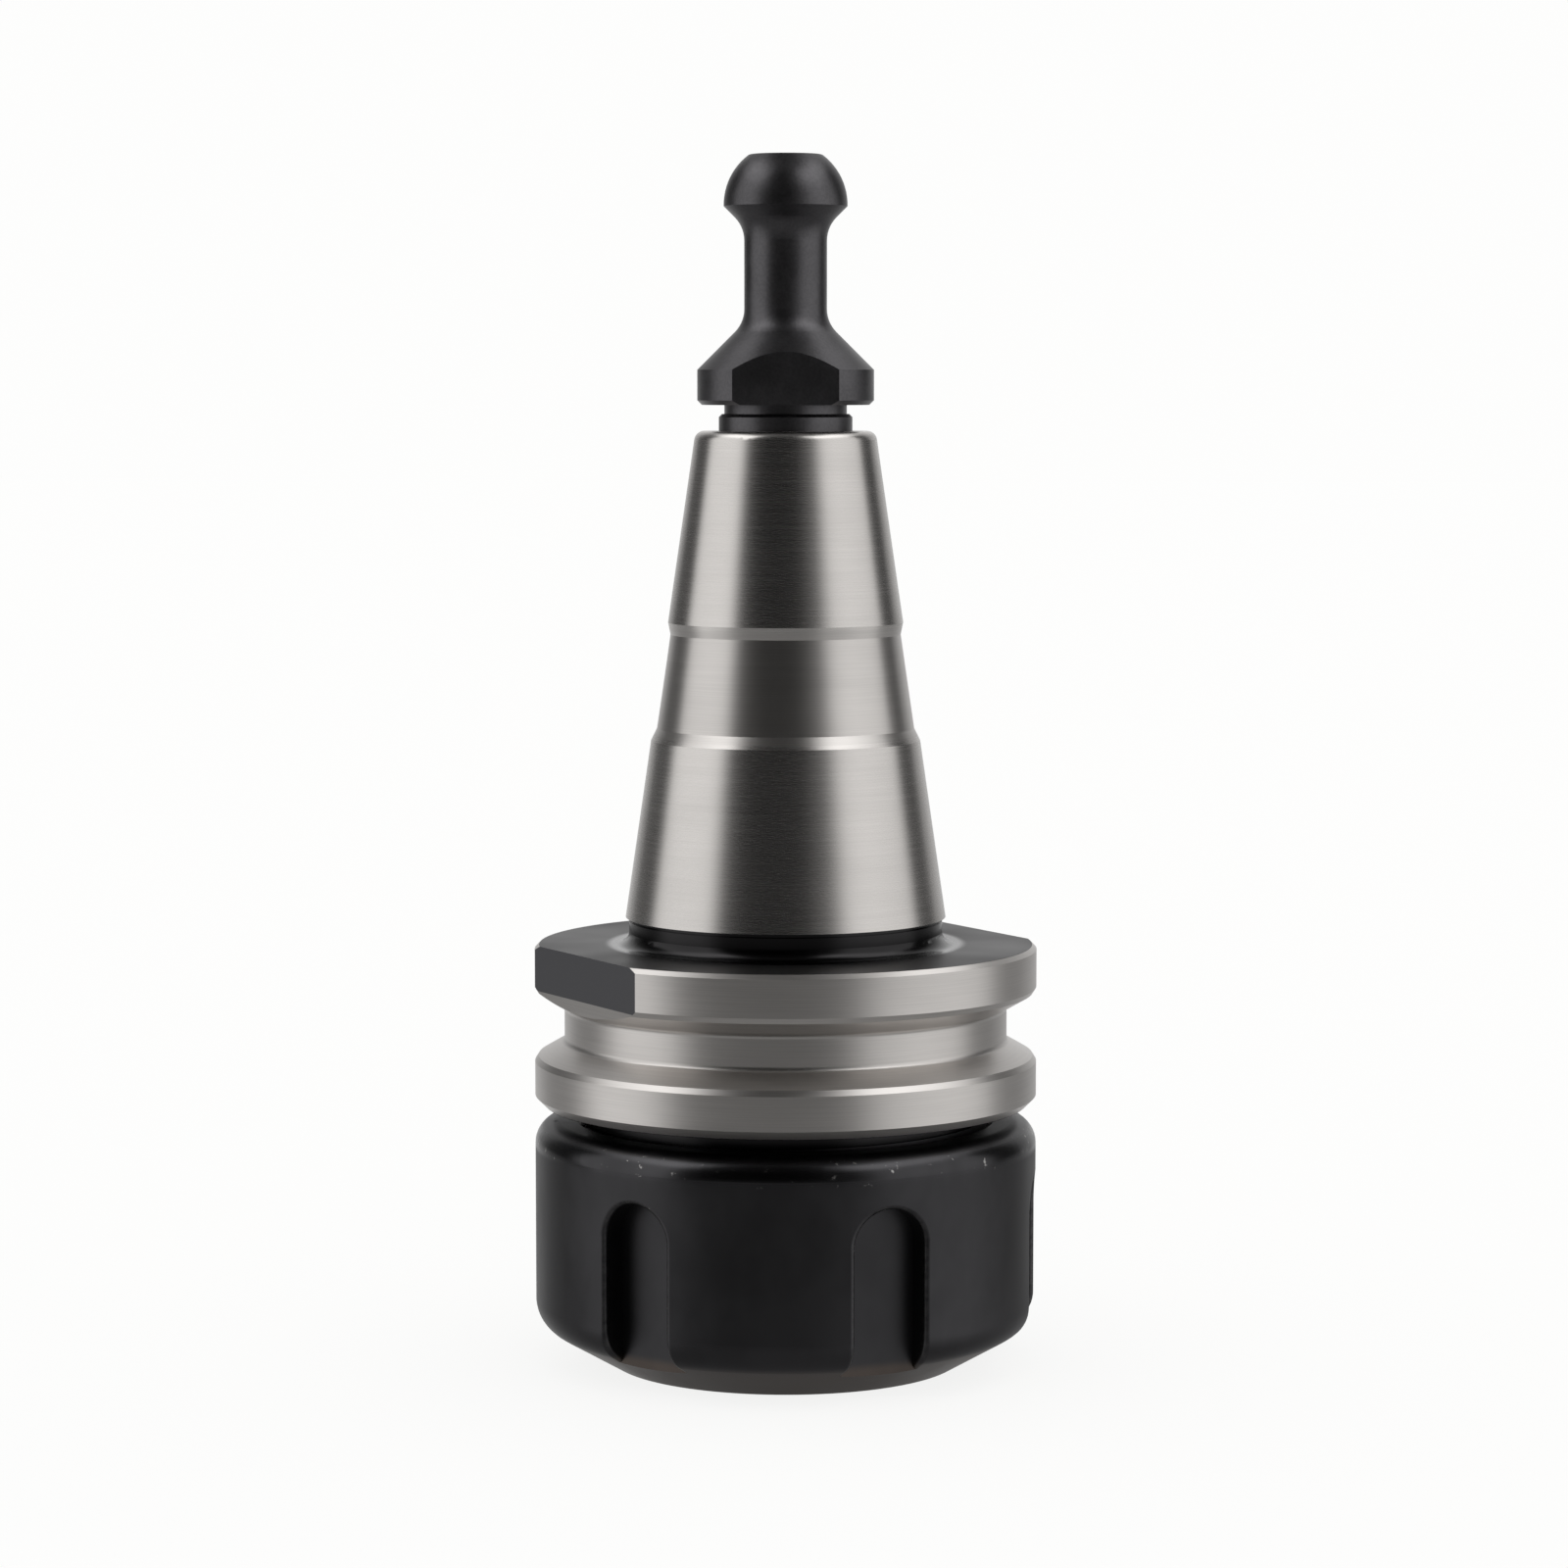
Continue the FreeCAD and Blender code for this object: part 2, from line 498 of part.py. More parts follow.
def make_clamping_nut():
    """Slotted nut, in a frame whose origin is the centre of its front face."""
    body = new_body("clamping_nut", "0")
    outer = "(flange_diameter / 2 - nut_step)"
    round_x = f"({outer} - nut_bottom_round + nut_bottom_round * sin(nut_cone_angle))"
    round_y = f"(({round_x} - nut_face_diameter / 2) * tan(nut_cone_angle))"
    turned(body, "outside", [
        ("0", "0"),
        ("nut_face_diameter / 2", "0"),
        (round_x, round_y, "nut_bottom_round", 1),
        (outer, f"{round_y} + nut_bottom_round * cos(nut_cone_angle)"),
        (outer, "nut_height - nut_top_round", "nut_top_round", 1),
        (f"{outer} - nut_top_round", "nut_height"),
        ("0", "nut_height"),
    ])
    mouth = f"({RING_RADIUS} - nut_mouth_cover)"
    chamber = f"({RING_RADIUS} + ring_play)"

    def seat_height(radius):
        """Height at which the seat, parallel to the collet's front cone, has a radius."""
        face = f"({RING_RADIUS} - collet_seat_width)"
        lead = f"({radius} - seat_play / cos(collet_seat_angle) - {face})"
        return f"collet_recess + {lead} / tan(collet_seat_angle)"

    turned_away(body, "inside", [
        ("0", "-collet_recess"),
        (mouth, "-collet_recess"),
        (mouth, seat_height(mouth)),
        (chamber, seat_height(chamber)),
        (chamber, LIP_FRONT),
        (mouth, LIP_FRONT),
        (mouth, LIP_BACK),
        ("collet_diameter / 2 + shoulder_play", LIP_BACK),
        ("collet_diameter / 2 + shoulder_play", THREAD_START),
        (NUT_BORE, THREAD_START),
        (NUT_BORE, "nut_height - nut_thread_chamfer"),
        (f"{NUT_BORE} + nut_thread_chamfer", "nut_height"),
        (f"{NUT_BORE} + nut_thread_chamfer", "nut_height + nut_gap"),
        ("0", "nut_height + nut_gap"),
    ])
    lip_hole = draw_circle(
        new_sketch(body, "lip_hole_outline", "XY_Plane", offset=THREAD_START),
        "lip_offset",
        "0",
        f"{RING_RADIUS} - lip_cover",
    )
    milled(body, "lip_hole", lip_hole, f"{THREAD_START} - {RING_BACK}")
    floor = f"({NUT_BORE} + slot_web)"
    slot_outline = new_sketch(body, "slot_outline", "YZ_Plane", offset=floor)
    half = "slot_width / 2"
    slot_top = "(nut_height - slot_top_gap)"
    draw_outline(slot_outline, [
        (f"-{half}", "0"),
        (half, "0"),
        (half, f"{slot_top} - {half}", half, 1),
        ("0", slot_top, half, 1),
        (f"-{half}", f"{slot_top} - {half}"),
    ])
    slot = milled(body, "slot", slot_outline, f"{outer} - {floor} + nut_top_round", outward=True)
    slots = repeated(body, "slots", slot, "slot_count")
    rounded(body, "slot_edges", slots, slot_rims(slots.Shape, number(floor)), "slot_edge_round")
    return body


def slot_rims(shape, floor):
    """Names of the edges where the slots' walls come out through the nut's turned surface."""

    def is_turned(face):
        return not isinstance(face.Surface, Part.Plane) and abs(face.Surface.Axis.z) > 0.5

    def is_wall(face):
        surface = face.Surface
        if abs(surface.Axis.z) > 0.5:
            return False
        return isinstance(surface, Part.Cylinder) or abs(surface.Position * surface.Axis) < floor / 2

    rims = []
    for index, edge in enumerate(shape.Edges, start=1):
        faces = shape.ancestorsOfType(edge, Part.Face)
        if any(is_turned(face) for face in faces) and any(is_wall(face) for face in faces):
            rims.append(f"Edge{index}")
    return rims


def make_collet():
    """Spring collet, in a frame whose origin is the centre of its front face."""
    body = new_body("collet", "collet_recess")
    bore = "tool_bore_diameter / 2"
    shoulder = "collet_diameter / 2"
    shoulder_start = "(collet_ring_length + collet_groove_width)"
    groove = f"({RING_RADIUS} - collet_groove_depth)"

    def jaw_radius(height):
        return f"({shoulder} - ({height} - {shoulder_start}) * tan(cone_angle))"

    turned(body, "outside", [
        (f"{bore} + tool_bore_chamfer", "0"),
        (f"{RING_RADIUS} - collet_seat_width", "0"),
        (RING_RADIUS, "collet_seat_width / tan(collet_seat_angle)"),
        (RING_RADIUS, "collet_ring_length"),
        (groove, "collet_ring_length"),
        (groove, shoulder_start),
        (shoulder, shoulder_start),
        (jaw_radius("(collet_length - collet_back_chamfer)"), "collet_length - collet_back_chamfer"),
        (f"{jaw_radius('collet_length')} - collet_back_chamfer", "collet_length"),
        (f"{bore} + tool_bore_chamfer", "collet_length"),
        (bore, "collet_length - tool_bore_chamfer"),
        (bore, "tool_bore_chamfer"),
    ])
    cuts = (
        ("front_cut", "0", "0", "collet_length - front_cut_web", True),
        ("back_cut", "collet_length", "180 / saw_cut_count", "collet_length - back_cut_web", False),
    )
    for name, offset, turn, depth, outward in cuts:
        sketch = new_sketch(body, f"{name}_outline", "XY_Plane", offset, turn)
        draw_outline(sketch, [
            (f"{bore} / 2", "-saw_cut_width / 2"),
            ("collet_diameter", "-saw_cut_width / 2"),
            ("collet_diameter", "saw_cut_width / 2"),
            (f"{bore} / 2", "saw_cut_width / 2"),
        ])
        repeated(body, f"{name}s", milled(body, name, sketch, depth, outward), "saw_cut_count")
    return body


def check_document():
    """Refuse to write anything while any object of the document has failed."""
    document.recompute()
    for item in document.Objects:
        if "Invalid" in item.State or "Error" in item.State:
            raise RuntimeError(f"{item.Label} failed: {item.State}")


def write_pieces(bodies):
    """Check each piece's solid and write it to its own file."""
    os.makedirs("parts", exist_ok=True)
    for body in bodies:
        shape = body.Shape
        if shape.isNull() or not shape.isValid() or len(shape.Solids) != 1:
            raise RuntimeError(f"{body.Label} is not one valid solid")
        shape.exportStep(f"parts/{body.Label}.step")
        box = shape.BoundBox
        print(f"{body.Label}: {shape.Volume:.1f} mm3, z {box.ZMin:.3f} to {box.ZMax:.3f}")


pieces = [make_holder_body(), make_pull_stud(), make_clamping_nut(), make_collet()]
check_document()
write_pieces(pieces)
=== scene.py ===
import math

import bmesh
import bpy
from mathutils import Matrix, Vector


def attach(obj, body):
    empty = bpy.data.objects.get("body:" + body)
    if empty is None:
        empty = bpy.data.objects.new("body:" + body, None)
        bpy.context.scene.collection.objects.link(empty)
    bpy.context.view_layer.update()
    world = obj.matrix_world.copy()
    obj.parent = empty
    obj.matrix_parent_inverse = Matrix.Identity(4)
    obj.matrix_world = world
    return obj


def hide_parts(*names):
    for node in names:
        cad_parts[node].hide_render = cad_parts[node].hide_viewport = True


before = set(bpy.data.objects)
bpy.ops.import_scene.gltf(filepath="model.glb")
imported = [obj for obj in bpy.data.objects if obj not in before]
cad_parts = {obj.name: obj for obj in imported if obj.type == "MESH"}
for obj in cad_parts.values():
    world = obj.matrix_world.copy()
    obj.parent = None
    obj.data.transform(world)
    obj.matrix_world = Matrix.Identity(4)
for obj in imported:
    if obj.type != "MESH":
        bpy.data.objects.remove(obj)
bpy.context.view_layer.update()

# Looks of the collet chuck holder: the finish of every CAD piece, the threads of the nose and the nut,
# the studio round it and the camera. Blender works in metres, and the sizes here are millimetres unless
# MM turns them. Heights are measured from the nut's front face, on which the holder stands.

MM = 0.001

# Heights and radii at which one finish gives way to another.
CONE_FOOT = 44.6
BAND_LOW, BAND_HIGH = 62.6, 73.5
FLANGE_TOP, FLANGE_BOTTOM = 41.9, 26.0
GROOVE_RADIUS = 22.05
FACED_START, FACED_FULL = 17.2, 18.2
FLAT_DISTANCE, FLAT_ANGLE = 22.7, math.radians(36)
FLAT_SKIN, FLAT_SOFT = 0.03, 0.01
# Half the height over which one finish gives way to the next at a sharp border.
BORDER = 0.02
GROOVE_TOP = 37.4
CAVITY_RADIUS, CAVITY_START, CAVITY_SLOPE = 16.7, 10.2, math.tan(math.radians(8))
CAVITY_END = 45.6
NUT_RADIUS, NUT_HEIGHT = 25.0, 24.35
CROWN_DEPTH_LOW, CROWN_DEPTH_HIGH = 2.6, 0.6
SLOT_COUNT, SLOT_HALF, SLOT_ARC_HEIGHT = 6, 3.675, 15.425
NOSE_CONE_TOP = 3.3

# The M40 by 1.5 thread of the nose and of the nut, which the solids leave plain.
PITCH, STEPS_A_TURN = 1.5, 120
NOSE_LOW, THREAD_HIGH, NOSE_HIGH = 11.6, 22.8, 25.6
NOSE_CREST, NOSE_ROOT, NOSE_END_RADIUS = 19.875, 19.075, 18.875
NUT_BORE, NUT_CREST = 20.125, 19.188
NUT_THREAD_LOW, NUT_THREAD_HIGH = 10.8, 23.55
BASIC_RADIUS = 20.0
FLANK = math.tan(math.radians(30))
# Width taken off a ridge so that nose and nut do not touch, and depth to which a ridge's foot is sunk.
FLANK_PLAY = 0.1
SEATED = 0.03

# Fillets between the gripper groove's floor and its flanks.
GROOVE_CENTRE, FILLET, FILLET_STEPS = 34.0, 0.6, 12
FILLET_CENTRE, FILLET_HEIGHT = 22.65, 1.3254
FILLET_TURN = math.radians(60)
# How near a point of the solid's mesh lies to a surface that it belongs to.
NEAR = 0.02

QUARTER_TURN = 0.25
STEEL = (0.640, 0.615, 0.592)
# Bare steel of worn nicks, also used for a faint painted highlight along the nut's slot edges.
STEEL_WORN_AND_HIGHLIGHT = (0.42, 0.41, 0.40)
COLLET_STEEL = (0.60, 0.585, 0.57)
OXIDE = (0.036, 0.035, 0.036)
MILLED_OXIDE = (0.152, 0.152, 0.161)
STUD_OXIDE = (0.106, 0.103, 0.108)
NUT_OXIDE = (0.058, 0.057, 0.060)
NUT_NOSE_OXIDE = (0.100, 0.084, 0.075)


class Graph:
    """A node tree with short calls, each of which returns the output that the next one takes."""

    def __init__(self, tree):
        self.tree = tree
        tree.nodes.clear()

    def put(self, socket, value):
        if isinstance(value, bpy.types.NodeSocket):
            self.tree.links.new(value, socket)
        else:
            socket.default_value = value

    def node(self, kind, settings=(), inputs=()):
        node = self.tree.nodes.new(kind)
        for name, value in dict(settings).items():
            setattr(node, name, value)
        for name, value in dict(inputs).items():
            self.put(node.inputs[name], value)
        return node

    def math(self, operation, *values):
        node = self.node("ShaderNodeMath", {"operation": operation}, dict(enumerate(values)))
        return node.outputs[0]

    def ease(self, value, low, high, start=0.0, end=1.0):
        """Go smoothly from start, where value is low, to end, where it is high."""
        inputs = {"Value": value, "From Min": low, "From Max": high, "To Min": start, "To Max": end}
        return self.node("ShaderNodeMapRange", {"interpolation_type": "SMOOTHSTEP"}, inputs).outputs[0]

    def between(self, value, low, high, soft):
        """1 between low and high, and 0 outside them."""
        up = self.ease(value, low - soft, low + soft)
        return self.math("MULTIPLY", up, self.ease(value, high - soft, high + soft, 1.0, 0.0))

    def mix(self, factor, low, high):
        """Blend two numbers."""
        node = self.node("ShaderNodeMix", {"data_type": "FLOAT"}, {0: factor, 2: low, 3: high})
        return node.outputs[0]

    def tint(self, factor, low, high, blend="MIX"):
        """Blend two colours."""
        settings = {"data_type": "RGBA", "blend_type": blend}
        low, high = [(*c, 1.0) if isinstance(c, tuple) else c for c in (low, high)]
        return self.node("ShaderNodeMix", settings, {0: factor, 6: low, 7: high}).outputs[2]

    def scaled(self, colour, factor):
        """A colour made lighter or darker by a number."""
        node = self.node("ShaderNodeVectorMath", {"operation": "SCALE"}, {"Scale": factor})
        self.put(node.inputs[0], colour)
        return node.outputs[0]

    def noise(self, vector, scales, detail=2.0, roughness=0.5):
        """Noise with its own scale, in waves a metre, along each axis."""
        stretched = self.node("ShaderNodeVectorMath", {"operation": "MULTIPLY"}, {0: vector, 1: scales})
        inputs = {"Vector": stretched.outputs[0], "Scale": 1.0, "Detail": detail, "Roughness": roughness}
        return self.node("ShaderNodeTexNoise", {}, inputs).outputs[0]

    def hypot(self, across, along):
        """The length of the longest side over two sides at right angles."""
        squares = [self.math("MULTIPLY", side, side) for side in (across, along)]
        return self.math("SQRT", self.math("ADD", *squares))

    def point(self):
        """The point on the object, in metres."""
        return self.node("ShaderNodeTexCoord").outputs["Object"]

    def place(self, point):
        """A point's three coordinates and its distance from the spindle axis, in millimetres."""
        split = self.node("ShaderNodeSeparateXYZ", {}, {0: point})
        x, y, z = [self.math("MULTIPLY", split.outputs[axis], 1 / MM) for axis in range(3)]
        return x, y, z, self.hypot(x, y)

    def bump(self, height, strength, distance):
        inputs = {"Height": height, "Strength": strength, "Distance": distance}
        return self.node("ShaderNodeBump", {}, inputs).outputs[0]

    def surface(self, inputs):
        shader = self.node("ShaderNodeBsdfPrincipled", {}, inputs)
        output = self.node("ShaderNodeOutputMaterial")
        self.tree.links.new(shader.outputs[0], output.inputs[0])


def new_material(name):
    material = bpy.data.materials.new(name)
    material.use_nodes = True
    return material, Graph(material.node_tree)


def lathe_tangent(graph):
    """Direction of the tool marks that turning and grinding leave round the spindle axis."""
    return graph.node("ShaderNodeTangent", {"direction_type": "RADIAL", "axis": "Z"}).outputs[0]


def holder_finish():
    """Ground cone, turned rims, and black oxide on the neck, the flange's faces and the nose."""
    material, graph = new_material("holder_finish")
    point = graph.point()
    x, y, z, radius = graph.place(point)

    cone = graph.ease(z, CONE_FOOT - BORDER, CONE_FOOT + BORDER)
    band = graph.between(z, BAND_LOW, BAND_HIGH, 0.1)
    in_rims = graph.between(z, FLANGE_BOTTOM + 0.05, FLANGE_TOP - BORDER, BORDER)
    outside = graph.ease(radius, GROOVE_RADIUS - 0.3, GROOVE_RADIUS - 0.2)
    rims = graph.math("MULTIPLY", in_rims, outside)
    along_flat = graph.math(
        "ADD",
        graph.math("MULTIPLY", x, math.cos(FLAT_ANGLE)),
        graph.math("MULTIPLY", y, math.sin(FLAT_ANGLE)),
    )
    from_axis = graph.math("ABSOLUTE", along_flat)
    on_flat = graph.between(from_axis, FLAT_DISTANCE - FLAT_SKIN, FLAT_DISTANCE + FLAT_SKIN, FLAT_SOFT)
    flats = graph.math("MULTIPLY", on_flat, graph.between(z, GROOVE_TOP, FLANGE_TOP + 0.1, BORDER))
    rims = graph.math("MULTIPLY", rims, graph.math("SUBTRACT", 1.0, flats))
    narrowing = graph.math("MULTIPLY", z, CAVITY_SLOPE)
    seat_radius = graph.math("SUBTRACT", CAVITY_RADIUS + CAVITY_START * CAVITY_SLOPE, narrowing)
    in_cavity = graph.math(
        "MULTIPLY",
        graph.math("LESS_THAN", radius, seat_radius),
        graph.math("LESS_THAN", z, CAVITY_END),
    )
    steel = graph.math("MAXIMUM", graph.math("MAXIMUM", cone, rims), in_cavity)

    lines = graph.noise(point, (70, 70, 14000), 2.0, 0.6)
    turning = graph.noise(point, (90, 90, 9000), 2.0, 0.6)
    cloud = graph.noise(point, (70, 70, 260), 2.0)
    marks = graph.mix(cone, turning, lines)
    streaks = graph.ease(marks, 0.25, 0.75, 0.955, 1.04)
    shade = graph.math("ADD", streaks, graph.ease(cloud, 0.3, 0.7, -0.03, 0.03))
    shade = graph.math("SUBTRACT", shade, graph.math("MULTIPLY", band, 0.03))
    steel_colour = graph.scaled(STEEL, shade)
    black_colour = graph.scaled(OXIDE, graph.ease(cloud, 0.3, 0.7, 0.85, 1.2))
    black_colour = graph.tint(flats, black_colour, MILLED_OXIDE)
    uneven = graph.ease(marks, 0.3, 0.7, -0.012, 0.012)
    steel_rough = graph.math("ADD", graph.mix(cone, 0.33, 0.267), uneven)
    steel_rough = graph.math("ADD", steel_rough, graph.math("MULTIPLY", band, 0.03))
    faced = graph.math(
        "MULTIPLY",
        graph.ease(z, FLANGE_TOP - BORDER, FLANGE_TOP - BORDER / 2),
        graph.ease(radius, FACED_START, FACED_FULL),
    )
    turned_rough, faced_rough = [graph.ease(cloud, 0.3, 0.7, *ends) for ends in ((0.19, 0.27), (0.40, 0.50))]
    black_rough = graph.mix(faced, turned_rough, faced_rough)
    black_rough = graph.mix(flats, black_rough, 0.5)
    graph.surface({
        "Base Color": graph.tint(steel, black_colour, steel_colour),
        "Metallic": 1.0,
        "Roughness": graph.mix(steel, black_rough, steel_rough),
        "Anisotropic": 0.3,
        "Anisotropic Rotation": QUARTER_TURN,
        "Tangent": lathe_tangent(graph),
        "Normal": graph.bump(marks, 0.06, 0.003 * MM),
    })
    return material


def stud_finish():
    """Black oxide over a fine blasted skin."""
    material, graph = new_material("stud_finish")
    point = graph.point()
    grain = graph.noise(point, (3600, 3600, 3600), 2.0, 0.6)
    cloud = graph.noise(point, (300, 300, 300), 3.0)
    patches = graph.ease(cloud, 0.3, 0.7, 0.9, 1.1)
    shade = graph.math("ADD", patches, graph.ease(grain, 0.3, 0.7, -0.08, 0.08))
    graph.surface({
        "Base Color": graph.scaled(STUD_OXIDE, shade),
        "Metallic": 1.0,
        "Roughness": graph.ease(cloud, 0.3, 0.7, 0.33, 0.39),
        "Normal": graph.bump(grain, 0.4, 0.02 * MM),
    })
    return material


def nut_finish():
    """Black oxide with handling marks, worn along the slots' edges and the top rounding, and a faint painted
    highlight along the slots' edges.
    """
    material, graph = new_material("nut_finish")
    point = graph.point()
    x, y, z, radius = graph.place(point)
    sector = 2 * math.pi / SLOT_COUNT
    angle = graph.math("ARCTAN2", y, x)
    nearest_slot = graph.math("ROUND", graph.math("DIVIDE", angle, sector))
    turn = graph.math("SUBTRACT", angle, graph.math("MULTIPLY", nearest_slot, sector))
    across = graph.math("MULTIPLY", radius, graph.math("SINE", turn))
    above = graph.math("MAXIMUM", graph.math("SUBTRACT", z, SLOT_ARC_HEIGHT), 0.0)
    from_slot = graph.math("SUBTRACT", graph.hypot(across, above), SLOT_HALF)

    grain = graph.noise(point, (3800, 3800, 3800), 2.0, 0.6)
    cloud = graph.noise(point, (120, 120, 90), 3.0, 0.55)
    nicks = graph.noise(point, (900, 900, 1100), 3.0, 0.7)
    outer = graph.ease(radius, NUT_RADIUS - 1.2, NUT_RADIUS - 0.6)
    rim = graph.math("MULTIPLY", graph.between(from_slot, -0.05, 0.35, 0.12), outer)
    crown = graph.between(z, NUT_HEIGHT - CROWN_DEPTH_LOW, NUT_HEIGHT - CROWN_DEPTH_HIGH, 0.4)
    prone = graph.math("MAXIMUM", rim, graph.math("MULTIPLY", crown, 0.8))
    worn = graph.math("MULTIPLY", prone, graph.ease(nicks, 0.655, 0.705))
    # A faint lighter line along every slot's edge: partly worn steel, partly a painted highlight standing in
    # for the light caught by the rounded edges.
    rim_wear_and_highlight = graph.math("MULTIPLY", rim, graph.ease(nicks, 0.35, 0.6, 0.0, 0.08))
    worn_and_highlight = graph.math("MAXIMUM", worn, rim_wear_and_highlight)
    nose = graph.ease(z, NOSE_CONE_TOP + 0.6, NOSE_CONE_TOP - 0.4)
    skin = graph.tint(nose, NUT_OXIDE, NUT_NOSE_OXIDE)
    skin = graph.scaled(skin, graph.ease(cloud, 0.3, 0.7, 0.85, 1.15))
    graph.surface({
        "Base Color": graph.tint(worn_and_highlight, skin, STEEL_WORN_AND_HIGHLIGHT),
        "Metallic": 1.0,
        "Roughness": graph.mix(crown, graph.ease(cloud, 0.3, 0.7, 0.36, 0.43), 0.22),
        "Normal": graph.bump(grain, 0.2, 0.008 * MM),
    })
    return material


def collet_finish():
    """Bright ground spring steel."""
    material, graph = new_material("collet_finish")
    point = graph.point()
    lines = graph.noise(point, (90, 90, 7000), 3.0, 0.6)
    cloud = graph.noise(point, (150, 150, 150), 2.0)
    streaks = graph.ease(lines, 0.25, 0.75, 0.9, 1.05)
    shade = graph.math("ADD", streaks, graph.ease(cloud, 0.3, 0.7, -0.05, 0.03))
    graph.surface({
        "Base Color": graph.scaled(COLLET_STEEL, shade),
        "Metallic": 1.0,
        "Roughness": graph.ease(lines, 0.3, 0.7, 0.24, 0.32),
        "Anisotropic": 0.5,
        "Anisotropic Rotation": QUARTER_TURN,
        "Tangent": lathe_tangent(graph),
        "Normal": graph.bump(lines, 0.1, 0.004 * MM),
    })
    return material


def ridge(radius, crest, crest_width):
    """Half the width of a thread's ridge at a radius."""
    return crest_width / 2 + abs(crest - radius) * FLANK


def add_band(work, outline, outward=True, turns=1.0, rise=0.0, start=0.0, trim=None):
    """A smooth skin from an outline of radii and heights, turned about the axis or along a helix."""
    rows = []
    for step in range(round(turns * STEPS_A_TURN) + 1):
        turn = step / STEPS_A_TURN
        angle = 2 * math.pi * turn
        row = []
        for radius, height in outline:
            height += start + rise * turn
            if trim:
                radius, height = trim(radius, height)
            x, y = radius * math.cos(angle), radius * math.sin(angle)
            row.append(work.verts.new((x * MM, y * MM, height * MM)))
        rows.append(row)
    for row, following in zip(rows, rows[1:]):
        for low, high, next_low, next_high in zip(row, row[1:], following, following[1:]):
            corners = (low, next_low, next_high, high)
            face = work.faces.new(corners if outward else corners[::-1])
            face.smooth = True


def add_thread(work, base, crest, crest_width, low, high, phase, outward, trim):
    """One ridge along the helix, from the height low to high, trimmed at its ends."""
    foot = ridge(base, crest, crest_width)
    outline = [(base, -foot), (crest, -crest_width / 2), (crest, crest_width / 2), (base, foot)]
    # The helix starts below the low end and stops above the high one, where trim flattens it away.
    before = math.ceil((low + foot - phase) / PITCH - 1)
    turns = (high + foot - phase) / PITCH - before + 0.5
    for lower, upper in zip(outline, outline[1:]):
        add_band(work, (lower, upper), outward, turns, PITCH, phase + before * PITCH - foot, trim)


def remade(vertex):
    """Whether a point of the holder lies on the plain nose, on its chamfer or in a fillet of the groove."""
    x, y, z = (value / MM for value in vertex.co)
    radius = math.hypot(x, y)
    chamfer_top = NOSE_LOW + NOSE_CREST - NOSE_END_RADIUS
    on_side = abs(radius - NOSE_CREST) < NEAR and chamfer_top - NEAR < z < NOSE_HIGH + NEAR
    off_chamfer = radius - NOSE_END_RADIUS - (z - NOSE_LOW)
    on_chamfer = abs(off_chamfer) < NEAR and NOSE_LOW - NEAR < z < chamfer_top + NEAR
    before_flank = radius < FILLET_CENTRE - FILLET * math.cos(FILLET_TURN) + NEAR
    in_fillet = []
    for side in (-1, 1):
        past_floor = (z - GROOVE_CENTRE) * side - FILLET_HEIGHT
        off_arc = math.hypot(FILLET_CENTRE - radius, past_floor) - FILLET
        in_fillet.append(abs(off_arc) < NEAR and before_flank and past_floor >= -NEAR)
    return on_side, on_chamfer, *in_fillet


def add_piece(name, work, material, body):
    mesh = bpy.data.meshes.new(name)
    work.to_mesh(mesh)
    work.free()
    mesh.materials.append(material)
    piece = bpy.data.objects.new(name, mesh)
    bpy.context.scene.collection.objects.link(piece)
    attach(piece, body)
    return piece


def cut_nose_thread(material):
    """The holder in place of the plain one, with its nose's thread cut and its groove's fillets smooth."""
    work = bmesh.new()
    work.from_mesh(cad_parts["holder_body"].data)
    plain = []
    for face in work.faces:
        corners_on_surface = zip(*(remade(vertex) for vertex in face.verts))
        if any(map(all, corners_on_surface)):
            plain.append(face)
    bmesh.ops.delete(work, geom=plain, context="FACES")

    # The end's chamfer reaches the thread's root at lead, and the thread runs out into the crest at collar.
    lead = NOSE_LOW + NOSE_ROOT - NOSE_END_RADIUS
    collar = THREAD_HIGH + NOSE_CREST - NOSE_ROOT

    def trim(radius, height):
        height = min(max(height, NOSE_LOW), collar)
        return min(radius, NOSE_END_RADIUS + height - NOSE_LOW), height

    outline = [(NOSE_END_RADIUS, NOSE_LOW), (NOSE_ROOT, lead), (NOSE_ROOT, THREAD_HIGH),
               (NOSE_CREST, collar), (NOSE_CREST, NOSE_HIGH)]
    for lower, upper in zip(outline, outline[1:]):
        add_band(work, (lower, upper))
    bends = [FILLET_TURN * step / FILLET_STEPS for step in range(FILLET_STEPS + 1)]
    for side in (-1, 1):
        arc = [(FILLET_CENTRE - FILLET * math.cos(bend),
                GROOVE_CENTRE + side * (FILLET_HEIGHT + FILLET * math.sin(bend))) for bend in bends]
        add_band(work, arc, outward=side > 0)
    crest_width = PITCH / 8 + 2 * (BASIC_RADIUS - NOSE_CREST) * FLANK - FLANK_PLAY
    add_thread(work, NOSE_ROOT - SEATED, NOSE_CREST, crest_width, NOSE_LOW, THREAD_HIGH, 0.0, True, trim)
    piece = add_piece("holder_body_threaded", work, material, "holder")
    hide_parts("holder_body")


def cut_nut_thread(material):
    """The nut's own thread, half a pitch from the nose's, so that the two mesh."""
    def trim(radius, height):
        height = max(height, NUT_THREAD_LOW)
        return max(radius, min(NUT_BORE + SEATED, NUT_BORE + height - NUT_THREAD_HIGH)), height

    work = bmesh.new()
    crest_width = PITCH - PITCH / 8 - 2 * (BASIC_RADIUS - NUT_CREST) * FLANK - FLANK_PLAY
    add_thread(work, NUT_BORE + SEATED, NUT_CREST, crest_width, NUT_THREAD_LOW, NUT_THREAD_HIGH,
               PITCH / 2, False, trim)
    add_piece("nut_thread", work, material, "nut")


def dress(node, material):
    """Give a CAD node's own slots a finish."""
    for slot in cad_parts[node].material_slots:
        slot.material = material


